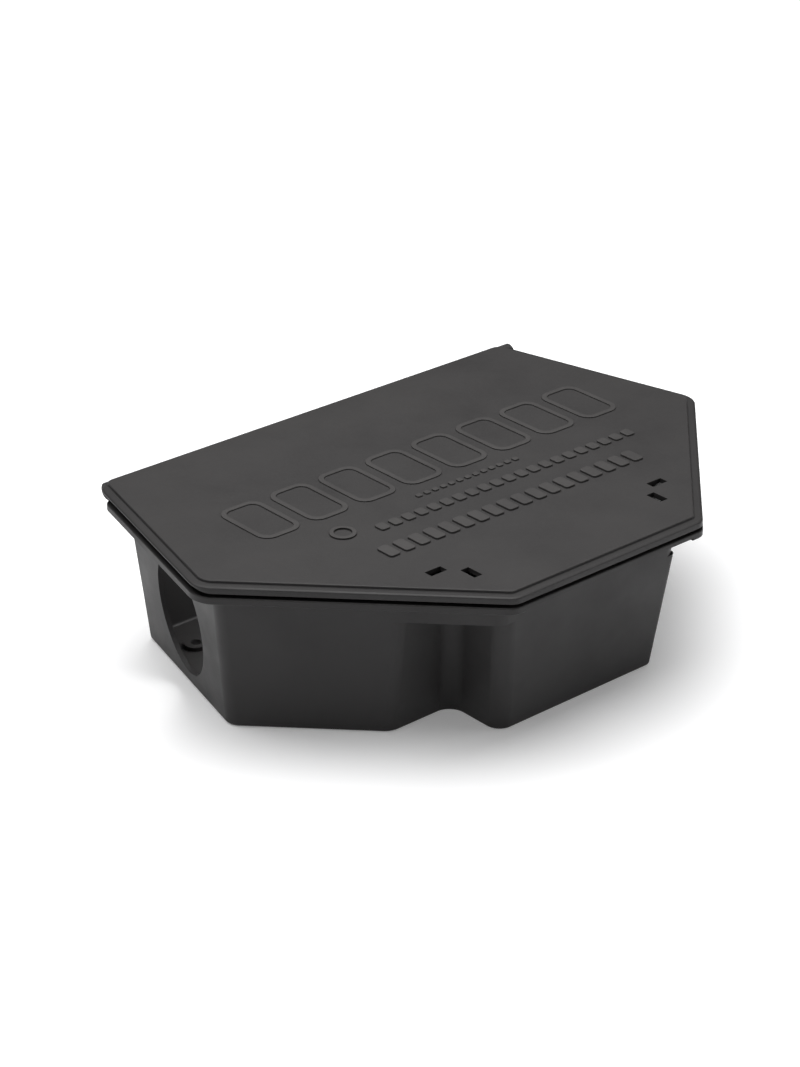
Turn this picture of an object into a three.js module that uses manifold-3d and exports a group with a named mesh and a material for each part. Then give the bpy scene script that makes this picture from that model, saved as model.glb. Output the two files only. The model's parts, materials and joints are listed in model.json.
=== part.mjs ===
// Low-profile rodent bait station: a tapered moulded base with an entry hole in each side wall, a
// hinged lid with two key slots over each front corner, a sprung latch bolt under each pair of
// slots, and a lift-out tray whose upright rods hold the bait blocks.
// Millimetres. The hinge line is y = 0, the front is -Y, the floor is z = 0 and +Z is up.
import * as THREE from "three";
import { mergeVertices } from "three/addons/utils/BufferGeometryUtils.js";
import Module from "manifold-3d";

const wasm = await Module();
wasm.setup();

// Sharp corners of the lid's plan, counter-clockwise from the back left.
const BACK_HALF = 132;
const SIDE_HALF = 160.5;
const SIDE_Y = -113.5;
const FRONT_HALF = 59.5;
const FRONT_Y = -215.8;

// Heights.
const PANEL_TOP = 86;
const LEDGE_TOP = 84.6;
const LID_BOTTOM = 81.2;
const RIM_TOP = 79.5;
const SKIRT_BOTTOM = 76;
const WALL_TOP = 77;
const NOTCH_ROOF = 62.8;
const SIDE_LIFT = 1.9; // how much higher the lid's lower edge is along its sides
const FINGER_HALF = 53.5; // half the length of the finger recess under the front edge

// How far the base's walls stand inside the lid's plan, at the floor and at WALL_TOP.
const WALL_FOOT = { side: 20.5, chamfer: 22.3, front: 23.7, back: 10.6 };
const WALL_HEAD = { side: 12.3, chamfer: 12.3, front: 12.3, back: 6.3 };
const RIM_REACH = { side: 0, chamfer: 0.3, front: 0, back: -6.6 };
const RIM_PLATE = 2.2;
const SHELL = 2.5; // wall of the base
const FLOOR = 2.4;

// The notch cut into each front chamfer: one wall across (constant y), one along (constant x).
const NOTCH_ACROSS = { at: -159.3, lean: 0.145 };
const NOTCH_ALONG = { left: { at: 47.2, lean: 0.107 }, right: { at: 54, lean: 0.06 } };

// Entry holes: ellipses in the side walls.
const ENTRY = { along: 62.7, height: 38, halfWidth: 25.3, halfHeight: 31 };

// Hinge along the back edge.
const HINGE = { z: 80.2, barrel: 4.4, bore: 2, pin: 1.6, clear: 0.4 };
const KNUCKLES = { left: -127.5, right: 136.5, count: 9, gap: 0.5, blind: 2.5 };

// Key slots in the lid, and the latch that they open; d runs outward from the slot pair's middle.
const SLOTS = { x: 65.05, y: -180.05, offset: 8, long: 9.5, wide: 4.8 };
const LATCH = { deck: 66, boltEnd: 1.2, stemEnd: -14, seat: -21.8, capScrew: 12.3 };

// Tray, rods and blocks.
const TRAY = { back: -95, low: 2.7, high: 18.7, wall: 1.8, gap: 2.5 };
const RODS = { xs: [-51, -17, 17, 51], y: -124, radius: 2, low: 5, bend: 71, arm: 14 };
const BLOCK = { side: 28, tall: 28.5, hole: 3, low: 12.3, gap: 0.3 };

const DIVIDER = { y: -91, half: 62, thick: 2.2, top: 72 };
const ANCHORS = [[-104, -36], [-30, -68], [30, -68], [104, -36]];
const CARD = { half: 52, back: -37.9, front: -89.6, low: 81.6, thick: 0.5 };

// Plain raised marks on the panel.
const FRAMES = { count: 8, pitch: 29.5, middle: 5, y: -82, wide: 24, deep: 38, line: 2.8 };
const RING = { x: -78, y: -118, outer: 6.5, inner: 4.3 };
const BAR_ROWS = [
  [6, -111, 13, 5.2, 3.2, 3, 0.8],
  [20, -125, 21, 8, 5.4, 6.5, 0.9],
  [4, -146, 18, 9.2, 6.2, 11, 1],
];
const SEGMENTS = 16;

const plastic = { color: 0x3a3a3b, roughness: 0.48, metalness: 0 };
const steel = { color: 0xa9abad, roughness: 0.35, metalness: 1 };
const MATERIALS = {
  base: new THREE.MeshStandardMaterial(plastic),
  lid: new THREE.MeshStandardMaterial({ ...plastic, color: 0x444445 }),
  tray: new THREE.MeshStandardMaterial({ ...plastic, color: 0x2c2d2f }),
  latch: new THREE.MeshStandardMaterial({ color: 0x1c1c1e, roughness: 0.4, metalness: 0 }),
  steel: new THREE.MeshStandardMaterial(steel),
  bait: new THREE.MeshStandardMaterial({ color: 0x3f8f7c, roughness: 0.75, metalness: 0 }),
  card: new THREE.MeshStandardMaterial({ color: 0xf0efe8, roughness: 0.85, metalness: 0 }),
};

// ---- solids ----

function solid(geometry) {
  const bare = new THREE.BufferGeometry();
  bare.setAttribute("position", geometry.getAttribute("position"));
  if (geometry.index) bare.setIndex(geometry.index);
  const merged = mergeVertices(bare, 1e-4);
  return new wasm.Manifold(
    new wasm.Mesh({
      numProp: 3,
      vertProperties: merged.attributes.position.array,
      triVerts: new Uint32Array(merged.index.array),
    }),
  );
}

function meshOf(name, body, material) {
  const { vertProperties, triVerts } = body.getMesh();
  const geometry = new THREE.BufferGeometry();
  geometry.setAttribute("position", new THREE.BufferAttribute(new Float32Array(vertProperties), 3));
  geometry.setIndex(new THREE.BufferAttribute(new Uint32Array(triVerts), 1));
  const flat = geometry.toNonIndexed();
  flat.computeVertexNormals();
  const mesh = new THREE.Mesh(flat, material);
  mesh.name = name;
  return mesh;
}

const union = (bodies) => bodies.reduce((whole, body) => whole.add(body));
const cut = (body, tools) => tools.reduce((rest, tool) => rest.subtract(tool), body);

function box([x0, x1], [y0, y1], [z0, z1]) {
  const geometry = new THREE.BoxGeometry(x1 - x0, y1 - y0, z1 - z0);
  return solid(geometry.translate((x0 + x1) / 2, (y0 + y1) / 2, (z0 + z1) / 2));
}

// An upright cylinder at (x, y), and one along X at the hinge's height.
function post(x, y, radius, z0, z1, sides = SEGMENTS) {
  const geometry = new THREE.CylinderGeometry(radius, radius, z1 - z0, sides);
  return solid(geometry.rotateX(Math.PI / 2).translate(x, y, (z0 + z1) / 2));
}

function barrel(x0, x1, radius) {
  const geometry = new THREE.CylinderGeometry(radius, radius, x1 - x0, SEGMENTS);
  return solid(geometry.rotateZ(Math.PI / 2).translate((x0 + x1) / 2, 0, HINGE.z));
}

// ---- plans: straight edges that lean, met in rounded corners ----

// The edge from p to q of a counter-clockwise plan: its outward normal, and its distance.
function edge(p, q) {
  const normal = new THREE.Vector2(q[1] - p[1], p[0] - q[0]).normalize();
  return { nx: normal.x, ny: normal.y, c: normal.x * p[0] + normal.y * p[1] };
}

const PLAN = [
  [-BACK_HALF, 0],
  [-SIDE_HALF, SIDE_Y],
  [-FRONT_HALF, FRONT_Y],
  [FRONT_HALF, FRONT_Y],
  [SIDE_HALF, SIDE_Y],
  [BACK_HALF, 0],
];
const KINDS = ["side", "chamfer", "front", "chamfer", "side", "back"];
const PLAN_RADII = [9, 13, 8, 8, 13, 9];
const WALL_RADII = [4, 8, 8, 8, 8, 4];
const OUTLINE = KINDS.map((kind, i) => ({ kind, ...edge(PLAN[i], PLAN[(i + 1) % 6]) }));

// The plan with each kind of edge moved in by its own amount.
const insetPlan = (inset) =>
  OUTLINE.map((line) => ({ ...line, c: line.c - (inset[line.kind] ?? inset), lean: 0 }));

// The base's walls, which lean out from floor to rim.
const WALLS = OUTLINE.map((line) => ({
  ...line,
  c: line.c - WALL_FOOT[line.kind],
  lean: (WALL_FOOT[line.kind] - WALL_HEAD[line.kind]) / WALL_TOP,
}));

// The same walls with a notch in each chamfer, and the radius of each corner.
function notchedWalls() {
  const [sideL, chamferL, front, chamferR, sideR, back] = WALLS;
  const across = { nx: 0, ny: -1, c: -NOTCH_ACROSS.at, lean: NOTCH_ACROSS.lean };
  const { left, right } = NOTCH_ALONG;
  const alongL = { nx: -1, ny: 0, c: left.at, lean: left.lean };
  const alongR = { nx: 1, ny: 0, c: right.at, lean: right.lean };
  return [sideL, chamferL, across, alongL, front, alongR, across, chamferR, sideR, back];
}
const NOTCHED = notchedWalls();
const NOTCHED_RADII = [4, 8, 10, 8, 8, 3.5, 8, 10, 8, 4];

// Where consecutive edges meet at height z, all moved in by inset.
function cornersOf(lines, z, inset) {
  const at = (line) => line.c + (line.lean ?? 0) * z - inset;
  return lines.map((line, i) => {
    const before = lines[(i + lines.length - 1) % lines.length];
    const det = before.nx * line.ny - before.ny * line.nx;
    return new THREE.Vector2(
      (at(before) * line.ny - at(line) * before.ny) / det,
      (at(line) * before.nx - at(before) * line.nx) / det,
    );
  });
}

function roundCorners(corners, radii, steps) {
  return corners.flatMap((corner, i) => {
    const toBefore = corners.at(i - 1).clone().sub(corner).normalize();
    const toAfter = corners[(i + 1) % corners.length].clone().sub(corner).normalize();
    const half = Math.acos(toBefore.dot(toAfter)) / 2;
    const middle = toBefore.clone().add(toAfter).normalize();
    const centre = corner.clone().addScaledVector(middle, radii[i] / Math.sin(half));
    const start = corner.clone().addScaledVector(toBefore, radii[i] / Math.tan(half)).sub(centre);
    const turn = (Math.PI - 2 * half) * Math.sign(toBefore.cross(toAfter)) * -1;
    const points = [];
    for (let k = 0; k <= steps; k++) {
      const swung = start.clone().rotateAround(new THREE.Vector2(), (turn * k) / steps);
      points.push(swung.add(centre));
    }
    return points;
  });
}

// One level of a moulded wall: outer corners get tighter, inner ones wider, as it moves in.
function level(lines, radii, z, inset = 0, steps = 4) {
  const corners = cornersOf(lines, z, inset);
  const fitted = radii.map((radius, i) => {
    const toBefore = corners.at(i - 1).clone().sub(corners[i]);
    const toAfter = corners[(i + 1) % corners.length].clone().sub(corners[i]);
    const convex = toBefore.cross(toAfter) < 0;
    return Math.max(1, radius - (convex ? inset : -inset));
  });
  return { points: roundCorners(corners, fitted, steps), z };
}

// A closed solid through levels that have the same number of points. A level may lift with y.
function skin(levels) {
  const base = levels[0].points;
  const geometry = new THREE.ExtrudeGeometry(new THREE.Shape(base), {
    depth: 1,
    steps: levels.length - 1,
    bevelEnabled: false,
  });
  const position = geometry.getAttribute("position");
  const spot = new THREE.Vector2();
  for (let v = 0; v < position.count; v++) {
    spot.set(position.getX(v), position.getY(v));
    const gaps = base.map((point) => point.distanceToSquared(spot));
    const { points, z, lift } = levels[Math.round(position.getZ(v) * (levels.length - 1))];
    const { x, y } = points[gaps.indexOf(Math.min(...gaps))];
    position.setXYZ(v, x, y, lift ? z + lift(y) : z);
  }
  return solid(geometry);
}

// ---- knuckles of the hinge, shared out between base and lid ----

function knuckleSpans(owner) {
  const { left, right, count, gap } = KNUCKLES;
  const pitch = (right - left) / count;
  const first = owner === "base" ? 0 : 1;
  const spans = [];
  for (let i = first; i < count; i += 2) {
    const x0 = left + i * pitch;
    spans.push([x0 + gap / 2, x0 + pitch - gap / 2]);
  }
  return spans;
}

// The bore for the pin: blind at the left, open at the right.
const hingeBore = () => barrel(KNUCKLES.left + KNUCKLES.blind, KNUCKLES.right + 1, HINGE.bore);

// ---- base ----

function atLatch(side, body) {
  const outward = side < 0 ? OUTLINE[1] : OUTLINE[3];
  const angle = (Math.atan2(outward.ny, outward.nx) * 180) / Math.PI;
  return body.rotate([0, 0, angle]).translate([side * SLOTS.x, SLOTS.y, 0]);
}

// The deck that carries one latch: a plate on the notch's roof with two gussets, a spring seat at
// its inner end and a hole for each screw.
function latchDeck(side) {
  const seat = LATCH.seat;
  const plate = box([seat - 3.7, 2], [-18.5, 18.5], [LATCH.deck - 2.8, LATCH.deck]);
  const upstand = box([seat - 2.2, seat], [-6, 6], [LATCH.deck - 1, LATCH.deck + 8]);
  const gussets = [-10, 10].map((v) => box([seat - 2.2, -10.5], [v - 1, v + 1], [48, LATCH.deck - 2]));
  return atLatch(side, union([plate, upstand, ...gussets]));
}

const latchHoles = (side) =>
  [-LATCH.capScrew, LATCH.capScrew].map((v) =>
    atLatch(side, post(-LATCH.capScrew, v, 1.8, LATCH.deck - 5, LATCH.deck + 2)),
  );

function entryCutter(side) {
  const shape = new THREE.Shape();
  shape.absellipse(0, 0, ENTRY.halfWidth, ENTRY.halfHeight, 0, 2 * Math.PI);
  const depth = 50;
  const geometry = new THREE.ExtrudeGeometry(shape, { depth, bevelEnabled: false, curveSegments: 12 });
  const wall = side < 0 ? OUTLINE[0] : OUTLINE[4];
  const run = new THREE.Vector2(SIDE_HALF - BACK_HALF, -SIDE_Y).normalize();
  geometry.translate(0, 0, -depth / 2).rotateX(Math.PI / 2);
  geometry.rotateZ(Math.atan2(wall.ny, wall.nx) + Math.PI / 2);
  const x = BACK_HALF + run.x * ENTRY.along - WALL_FOOT.side;
  return solid(geometry.translate(side * x, -run.y * ENTRY.along, ENTRY.height));
}

function rim() {
  const lines = insetPlan(Object.fromEntries(Object.entries(RIM_REACH).map(([k, v]) => [k, -v])));
  const radii = [6, 14, 8, 8, 14, 6];
  const lip = 2;
  const plate = skin([
    level(lines, radii, SKIRT_BOTTOM),
    level(lines, radii, RIM_TOP - 0.5),
    level(lines, radii, RIM_TOP, 0.5),
  ]);
  const channel = skin([
    level(lines, radii, SKIRT_BOTTOM - 1, lip),
    level(lines, radii, RIM_TOP - RIM_PLATE, lip),
  ]);
  const fingers = box(
    [-FINGER_HALF, FINGER_HALF],
    [FRONT_Y - 5, FRONT_Y + 7.3],
    [SKIRT_BOTTOM - 1, RIM_TOP - RIM_PLATE],
  );
  return cut(plate, [channel, fingers]);
}

function baseKnuckles() {
  return knuckleSpans("base").flatMap((span) => [
    barrel(...span, HINGE.barrel),
    box(span, [-9.5, 0.5], [HINGE.z - 4.4, HINGE.z - 1]),
  ]);
}

function divider() {
  const { y, half, thick, top } = DIVIDER;
  const wall = box([-half, half], [y, y + thick], [1, top]);
  const wings = [-1, 1].map((side) => {
    const x = side * half;
    return box([x - thick / 2, x + thick / 2], [y, y + 16], [1, top]);
  });
  return union([wall, ...wings]);
}

function baseShell() {
  const deckBottom = NOTCH_ROOF + SHELL;
  const outer = union([
    skin([
      level(NOTCHED, NOTCHED_RADII, 0, 1.2),
      level(NOTCHED, NOTCHED_RADII, 1.2),
      level(NOTCHED, NOTCHED_RADII, NOTCH_ROOF),
    ]),
    skin([level(WALLS, WALL_RADII, NOTCH_ROOF), level(WALLS, WALL_RADII, RIM_TOP - 1)]),
    rim(),
  ]);
  const inside = [
    skin([
      level(NOTCHED, NOTCHED_RADII, FLOOR, SHELL + 1),
      level(NOTCHED, NOTCHED_RADII, FLOOR + 1, SHELL),
      level(NOTCHED, NOTCHED_RADII, deckBottom, SHELL),
    ]),
    skin([level(WALLS, WALL_RADII, deckBottom, SHELL), level(WALLS, WALL_RADII, RIM_TOP + 1, SHELL)]),
  ];
  const moulded = union([
    cut(outer, inside),
    divider(),
    latchDeck(-1),
    latchDeck(1),
    ...ANCHORS.map(([x, y]) => post(x, y, 6, 1, FLOOR + 2)),
    ...baseKnuckles(),
  ]);
  return cut(moulded, [
    entryCutter(-1),
    entryCutter(1),
    ...latchHoles(-1),
    ...latchHoles(1),
    ...ANCHORS.map(([x, y]) => post(x, y, 2.75, -1, FLOOR + 4)),
    hingeBore(),
  ]);
}

// ---- lid ----

function slab(x, y, w, h, radius, z0, z1, steps = 3) {
  const corners = [[-1, 1], [-1, -1], [1, -1], [1, 1]].map(
    ([sx, sy]) => new THREE.Vector2(x + (sx * w) / 2, y + (sy * h) / 2),
  );
  const points = roundCorners(corners, corners.map(() => radius), steps);
  return skin([{ points, z: z0 }, { points, z: z1 }]);
}

// A row of raised bars: [middle of the row, its y, bars, pitch, bar's width, bar's depth, height].
function barRow([middle, y, count, pitch, wide, deep, high]) {
  const bars = [];
  for (let i = 0; i < count; i++) {
    const x = middle + (i - (count - 1) / 2) * pitch;
    bars.push(slab(x, y, wide, deep, wide / 4, PANEL_TOP - 0.4, PANEL_TOP + high, 1));
  }
  return bars;
}

// Plain raised frames, bars and a ring on the panel, in four rows.
function relief() {
  const low = PANEL_TOP - 0.4;
  const frames = [];
  for (let i = 0; i < FRAMES.count; i++) {
    const x = (i - (FRAMES.count - 1) / 2) * FRAMES.pitch + FRAMES.middle;
    const { y, wide, deep, line } = FRAMES;
    const frame = slab(x, y, wide, deep, 7, low, PANEL_TOP + 0.6);
    const window = slab(x, y, wide - 2 * line, deep - 2 * line, 4.4, low - 1, PANEL_TOP + 1);
    frames.push(frame.subtract(window));
  }
  const { x, y, outer, inner } = RING;
  const hole = post(x, y, inner, low - 1, PANEL_TOP + 2);
  const ring = post(x, y, outer, low, PANEL_TOP + 0.9).subtract(hole);
  return [...frames, ring, ...BAR_ROWS.flatMap(barRow)];
}

// A keeper under the lid for one latch: a rib with a lip that the bolt's nose holds down.
function keeper(side) {
  const low = LATCH.deck + 0.6;
  const rib = box([2.9, 4.4], [-5, 5], [low, PANEL_TOP - 2]);
  const lip = box([1.6, 3.2], [-3.6, 3.6], [low, low + 1.8]);
  return atLatch(side, rib.add(lip));
}

function tongue() {
  const outer = insetPlan({ side: 15.7, chamfer: 15.7, front: 15.7, back: 11.2 });
  const radii = [4, 7, 4, 4, 7, 4];
  const [low, high] = [78, PANEL_TOP - 2];
  return skin([level(outer, radii, low), level(outer, radii, high)]).subtract(
    skin([level(outer, radii, low - 1, 2), level(outer, radii, high + 1, 2)]),
  );
}

// Stiffening ribs, and two rails that hold the service card flat under the lid.
function lidRibs() {
  const high = PANEL_TOP - 2;
  const ribs = [-66, 66].map((x) => box([x - 1, x + 1], [-160, -13], [79.6, high]));
  ribs.push(box([-108, 108], [-161, -159], [79.6, high]));
  const { back, front, low, half } = CARD;
  for (const [y, inward] of [[back + 0.4, -1], [front - 0.4, 1]]) {
    const leg = [y, y - 2 * inward].sort((a, b) => a - b);
    const lip = [y + 3 * inward, y - 2 * inward].sort((a, b) => a - b);
    ribs.push(box([-half, half], leg, [low - 1.4, high]));
    ribs.push(box([-half, half], lip, [low - 1.4, low - 0.4]));
  }
  return ribs;
}

// How far the lid's lower edge is lifted: nothing along the front and chamfers, all along the sides.
function sideLift(y) {
  const share = THREE.MathUtils.smoothstep(y, SIDE_Y - 6, SIDE_Y + 6);
  return SIDE_LIFT * share;
}

// The lid's plan, moved in along every edge but the back, which has its own inset.
function lidLevel(z, inset, back = 0, lift) {
  const lines = insetPlan({ side: inset, chamfer: inset, front: inset, back });
  const radii = PLAN_RADII.map((radius) => radius - inset);
  return { ...level(lines, radii, z, 0, 5), lift };
}

function lidShell() {
  const outer = skin([
    lidLevel(LID_BOTTOM, 0.3, 0, sideLift),
    lidLevel(LID_BOTTOM + 0.6, 0, 0, sideLift),
    lidLevel(LEDGE_TOP - 0.8, 0),
    lidLevel(LEDGE_TOP - 0.3, 0.4),
    lidLevel(LEDGE_TOP - 0.1, 0.95),
    lidLevel(LEDGE_TOP, 1.8),
    lidLevel(LEDGE_TOP, 4.2),
    lidLevel(PANEL_TOP - 0.3, 4.4, 0.1),
    lidLevel(PANEL_TOP, 4.8, 0.5),
  ]);
  const hollow = skin([
    lidLevel(LID_BOTTOM - 1, 2.4, 2.4),
    lidLevel(LEDGE_TOP - 2.2, 2.6, 2.6),
    lidLevel(LEDGE_TOP - 2.1, 6.6, 6.6),
    lidLevel(PANEL_TOP - 2.4, 7, 7),
  ]);
  const clearance = knuckleSpans("base").map(([x0, x1]) =>
    barrel(x0 - KNUCKLES.gap, x1 + KNUCKLES.gap, HINGE.barrel + HINGE.clear),
  );
  const knuckles = knuckleSpans("lid").flatMap((span) => [
    barrel(...span, HINGE.barrel),
    box(span, [-8, -0.5], [HINGE.z + 1, PANEL_TOP - 2]),
  ]);
  const slots = [-1, 1].flatMap((side) => {
    const { x, y, offset, long, wide } = SLOTS;
    const step = offset / Math.SQRT2;
    const [xa, xb] = [side * (x + step), side * (x - step)];
    return [
      box([xa - long / 2, xa + long / 2], [y + step - wide / 2, y + step + wide / 2], [70, 95]),
      box([xb - wide / 2, xb + wide / 2], [y - step - long / 2, y - step + long / 2], [70, 95]),
    ];
  });
  const body = cut(outer, [hollow, ...clearance]);
  const whole = union([body, tongue(), ...lidRibs(), ...knuckles, keeper(-1), keeper(1), ...relief()]);
  return cut(whole, [...slots, hingeBore()]);
}

function hingePin() {
  return barrel(KNUCKLES.left + KNUCKLES.blind + 0.5, KNUCKLES.right - 0.5, HINGE.pin);
}

// ---- tray, rods, blocks, card ----

function baitTray() {
  const across = { nx: 0, ny: 1, c: TRAY.back };
  const cleared = NOTCHED.map((line) =>
    line.kind === "back" ? across : { ...line, c: line.c - SHELL - TRAY.gap },
  );
  const radii = [3, 7, 7, 10, 6, 6, 10, 7, 7, 3];
  const outer = skin([level(cleared, radii, TRAY.low), level(cleared, radii, TRAY.high)]);
  const inner = skin([
    level(cleared, radii, TRAY.low + TRAY.wall, TRAY.wall),
    level(cleared, radii, TRAY.high + 1, TRAY.wall),
  ]);
  const sockets = RODS.xs.map((x) => post(x, RODS.y, 4.6, TRAY.low + 1, BLOCK.low - 0.3));
  const bores = RODS.xs.map((x) => post(x, RODS.y, RODS.radius + 0.4, RODS.low - 0.4, BLOCK.low + 1));
  return cut(union([cut(outer, [inner]), ...sockets]), bores);
}

// An upright rod with its top bent back into a short finger grip.
function baitRod() {
  const { low, bend, arm, radius } = RODS;
  const turn = 4;
  const path = new THREE.CurvePath();
  path.add(new THREE.LineCurve3(new THREE.Vector3(0, 0, low), new THREE.Vector3(0, 0, bend)));
  path.add(
    new THREE.QuadraticBezierCurve3(
      new THREE.Vector3(0, 0, bend),
      new THREE.Vector3(0, 0, bend + turn),
      new THREE.Vector3(0, turn, bend + turn),
    ),
  );
  const tip = new THREE.Vector3(0, arm, bend + turn);
  path.add(new THREE.LineCurve3(new THREE.Vector3(0, turn, bend + turn), tip));
  const round = new THREE.Shape();
  round.absellipse(0, 0, radius, radius, 0, 2 * Math.PI);
  return solid(
    new THREE.ExtrudeGeometry(round, {
      steps: 24,
      curveSegments: 5,
      extrudePath: path,
      bevelEnabled: false,
    }),
  );
}

// A pressed block: a square bar with a groove down each face and a hole for the rod.
function baitBlock() {
  const half = BLOCK.side / 2;
  const quarter = [[half, -half + 3], [half, -4], [half - 2.5, 0], [half, 4], [half, half - 3]];
  const shape = new THREE.Shape();
  for (let turn = 0; turn < 4; turn++) {
    for (const [x, y] of quarter) {
      const point = new THREE.Vector2(x, y).rotateAround(new THREE.Vector2(), (turn * Math.PI) / 2);
      if (turn === 0 && y === quarter[0][1]) shape.moveTo(point.x, point.y);
      else shape.lineTo(point.x, point.y);
    }
  }
  const hole = new THREE.Path();
  hole.absellipse(0, 0, BLOCK.hole, BLOCK.hole, 0, 2 * Math.PI);
  shape.holes.push(hole);
  return solid(
    new THREE.ExtrudeGeometry(shape, { depth: BLOCK.tall, curveSegments: 6, bevelEnabled: false }),
  );
}

// ---- latch pieces, in the latch's own frame: +X outward, +Z up from the floor ----

function latchBolt() {
  const low = LATCH.deck + 0.3;
  const high = LATCH.deck + 7;
  const { boltEnd, stemEnd } = LATCH;
  const ramp = new THREE.Shape([
    new THREE.Vector2(-3.2, low),
    new THREE.Vector2(boltEnd, low),
    new THREE.Vector2(boltEnd, low + 2),
    new THREE.Vector2(-2.4, high),
    new THREE.Vector2(-3.2, high),
  ]);
  const bar = new THREE.ExtrudeGeometry(ramp, { depth: 24, bevelEnabled: false });
  const nose = box([-3, boltEnd], [-4, 4], [LATCH.deck + 2.8, high]);
  const stem = box([stemEnd, -3], [-5.7, 5.7], [low, high - 1]);
  return union([solid(bar.rotateX(Math.PI / 2).translate(0, 12, 0)), nose, stem]);
}

class Helix extends THREE.Curve {
  constructor(radius, length, turns) {
    super();
    Object.assign(this, { radius, length, turns });
  }
  getPoint(t, target = new THREE.Vector3()) {
    const angle = 2 * Math.PI * this.turns * t;
    return target.set(this.length * t, this.radius * Math.cos(angle), this.radius * Math.sin(angle));
  }
}

function latchSpring() {
  const wire = 0.4;
  const start = LATCH.seat + wire + 0.2;
  const length = LATCH.stemEnd - 0.2 - wire - start;
  const round = new THREE.Shape();
  round.absellipse(0, 0, wire, wire, 0, 2 * Math.PI);
  const geometry = new THREE.ExtrudeGeometry(round, {
    steps: 64,
    curveSegments: 3,
    extrudePath: new Helix(2.2, length, 4.5),
    bevelEnabled: false,
  });
  return solid(geometry.translate(start, 0, LATCH.deck + 3.4));
}

// The cap that holds the bolt's stem down, screwed to the deck on both sides of it.
function latchCap() {
  const [x0, x1] = [-17, -7.6];
  const block = box([x0, x1], [-17.5, 17.5], [LATCH.deck + 0.3, LATCH.deck + 8.2]);
  const channel = box([x0 - 1, x1 + 1], [-6.1, 6.1], [LATCH.deck - 1, LATCH.deck + 6.4]);
  const holes = [-1, 1].map((side) =>
    post(-LATCH.capScrew, side * LATCH.capScrew, 1.8, LATCH.deck, LATCH.deck + 9),
  );
  return cut(block, [channel, ...holes]);
}

function capScrew() {
  const seat = LATCH.deck + 8.5;
  return post(0, 0, 1.4, LATCH.deck - 4, seat + 0.2, 12).add(post(0, 0, 2.9, seat, seat + 1.7, 12));
}

// ---- assembly ----

function latchGroup(name, side) {
  const outward = side < 0 ? OUTLINE[1] : OUTLINE[3];
  const group = new THREE.Group();
  group.position.set(side * SLOTS.x, SLOTS.y, 0);
  group.rotation.z = Math.atan2(outward.ny, outward.nx);
  group.add(meshOf(`latch_bolt_${name}`, latchBolt(), MATERIALS.latch));
  group.add(meshOf(`latch_spring_${name}`, latchSpring(), MATERIALS.steel));
  group.add(meshOf(`latch_cap_${name}`, latchCap(), MATERIALS.latch));
  for (const [i, v] of [-LATCH.capScrew, LATCH.capScrew].entries()) {
    const screw = meshOf(`cap_screw_${name}_${i + 1}`, capScrew(), MATERIALS.steel);
    screw.position.set(-LATCH.capScrew, v, 0);
    group.add(screw);
  }
  return group;
}

function baitGroup() {
  const group = new THREE.Group();
  group.add(meshOf("bait_tray", baitTray(), MATERIALS.tray));
  for (const [i, x] of RODS.xs.entries()) {
    const rod = meshOf(`bait_rod_${i + 1}`, baitRod(), MATERIALS.steel);
    rod.position.set(x, RODS.y, 0);
    group.add(rod);
    for (const [k, place] of ["lower", "upper"].entries()) {
      const block = meshOf(`bait_block_${i + 1}_${place}`, baitBlock(), MATERIALS.bait);
      block.position.set(x, RODS.y, BLOCK.low + k * (BLOCK.tall + BLOCK.gap));
      group.add(block);
    }
  }
  return group;
}

function lidGroup() {
  const group = new THREE.Group();
  const { half, back, front, low, thick } = CARD;
  group.add(meshOf("lid_shell", lidShell(), MATERIALS.lid));
  const card = box([-half + 1, half - 1], [front, back], [low, low + thick]);
  group.add(meshOf("service_card", card, MATERIALS.card));
  return group;
}

const station = new THREE.Group();
station.position.y = -(FRONT_Y + HINGE.barrel) / 2; // the footprint's middle becomes the origin
station.add(meshOf("base_shell", baseShell(), MATERIALS.base));
station.add(meshOf("hinge_pin", hingePin(), MATERIALS.steel));
station.add(lidGroup());
station.add(latchGroup("left", -1));
station.add(latchGroup("right", 1));
station.add(baitGroup());

export default station;
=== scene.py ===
import json
import math

import bmesh
import bpy
from mathutils import Matrix, Vector


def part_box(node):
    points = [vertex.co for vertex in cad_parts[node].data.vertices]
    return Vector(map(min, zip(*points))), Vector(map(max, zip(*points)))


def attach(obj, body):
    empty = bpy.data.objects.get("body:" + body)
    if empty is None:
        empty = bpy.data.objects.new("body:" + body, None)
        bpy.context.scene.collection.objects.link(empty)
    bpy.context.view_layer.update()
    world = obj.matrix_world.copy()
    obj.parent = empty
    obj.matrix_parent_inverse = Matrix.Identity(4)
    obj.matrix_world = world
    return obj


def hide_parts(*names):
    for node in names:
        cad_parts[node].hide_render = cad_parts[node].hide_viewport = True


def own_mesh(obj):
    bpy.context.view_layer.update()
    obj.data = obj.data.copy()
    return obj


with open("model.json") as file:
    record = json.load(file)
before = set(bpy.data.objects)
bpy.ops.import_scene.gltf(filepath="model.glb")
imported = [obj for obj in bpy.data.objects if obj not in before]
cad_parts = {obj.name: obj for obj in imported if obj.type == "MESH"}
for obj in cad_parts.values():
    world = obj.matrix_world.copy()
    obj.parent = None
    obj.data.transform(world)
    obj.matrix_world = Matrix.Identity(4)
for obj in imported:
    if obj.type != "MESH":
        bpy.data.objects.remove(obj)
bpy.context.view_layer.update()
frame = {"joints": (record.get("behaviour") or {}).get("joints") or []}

# Lengths are in millimetres with y = 0 on the hinge line, until finished() places a piece.
MM = 0.001
HINGE_SPOT = next(j for j in frame["joints"] if j["name"] == "lid_hinge")["pos_m"]
TO_FRAME = Matrix.Translation((0, HINGE_SPOT[1], 0)) @ Matrix.Scale(MM, 4)

# ---- the station's plan and heights ----

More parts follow.
